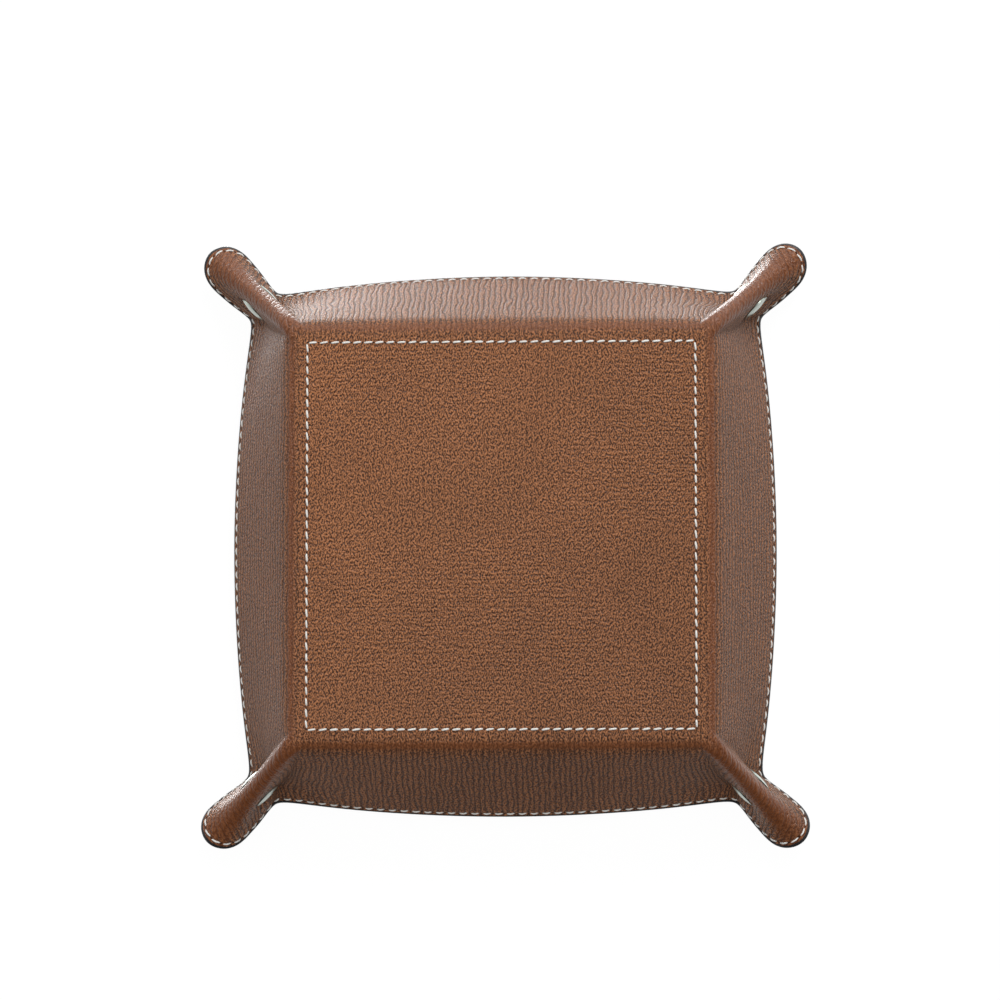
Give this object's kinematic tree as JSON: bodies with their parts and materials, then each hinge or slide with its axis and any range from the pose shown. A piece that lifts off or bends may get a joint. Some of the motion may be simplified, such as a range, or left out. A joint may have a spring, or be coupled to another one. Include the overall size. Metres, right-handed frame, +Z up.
{
  "type": "valet tray",
  "caption": "Square leather valet tray with low slanting sides, whose corners are pinched outward into ears and held by press studs.",
  "frame": {"origin": "middle of the base's underside", "axes": "+Z up, out of the tray's opening; each side faces X or Y, and the ears point along the diagonals"},
  "size_m": [0.2276, 0.2276, 0.0462],
  "materials": {
    "outer_leather": "pebbled tan brown leather, dark painted edge, white thread",
    "lining": "soft brown suede",
    "stiffening_board": "matt pressed board",
    "plated_caps": "nickel plated, satin",
    "plated_fittings": "nickel plated",
    "spring_wire": "spring wire"
  },
  "bodies": {
    "tray": {"outer_leather": "outer_leather", "lining": "lining", "base_board": "stiffening_board", "front_left_snap_cap": "plated_caps", "front_left_snap_socket": "plated_fittings", "front_left_snap_spring": "spring_wire", "front_right_snap_cap": "plated_caps", "front_right_snap_socket": "plated_fittings", "front_right_snap_spring": "spring_wire", "back_right_snap_cap": "plated_caps", "back_right_snap_socket": "plated_fittings", "back_right_snap_spring": "spring_wire", "back_left_snap_cap": "plated_caps", "back_left_snap_socket": "plated_fittings", "back_left_snap_spring": "spring_wire"},
    "front_left_flap": {"front_left_snap_stud": "plated_fittings", "front_left_snap_post": "plated_caps"},
    "front_right_flap": {"front_right_snap_stud": "plated_fittings", "front_right_snap_post": "plated_caps"},
    "back_right_flap": {"back_right_snap_stud": "plated_fittings", "back_right_snap_post": "plated_caps"},
    "back_left_flap": {"back_left_snap_stud": "plated_fittings", "back_left_snap_post": "plated_caps"}
  },
  "joints": [
    {"name": "front_left_ear_opens", "type": "hinge", "parent": "tray", "child": "front_left_flap", "pos_m": [-0.09514, -0.09514, 0.02429], "axis": [0.5547, 0.5547, -0.6201], "range_deg": [0, 25], "deforming": ["outer_leather", "lining"]},
    {"name": "front_right_ear_opens", "type": "hinge", "parent": "tray", "child": "front_right_flap", "pos_m": [0.09514, -0.09514, 0.02429], "axis": [0.5547, -0.5547, 0.6201], "range_deg": [0, 25], "deforming": ["outer_leather", "lining"]},
    {"name": "back_right_ear_opens", "type": "hinge", "parent": "tray", "child": "back_right_flap", "pos_m": [0.09514, 0.09514, 0.02429], "axis": [-0.5547, -0.5547, -0.6201], "range_deg": [0, 25], "deforming": ["outer_leather", "lining"]},
    {"name": "back_left_ear_opens", "type": "hinge", "parent": "tray", "child": "back_left_flap", "pos_m": [-0.09514, 0.09514, 0.02429], "axis": [-0.5547, 0.5547, 0.6201], "range_deg": [0, 25], "deforming": ["outer_leather", "lining"]}
  ]
}
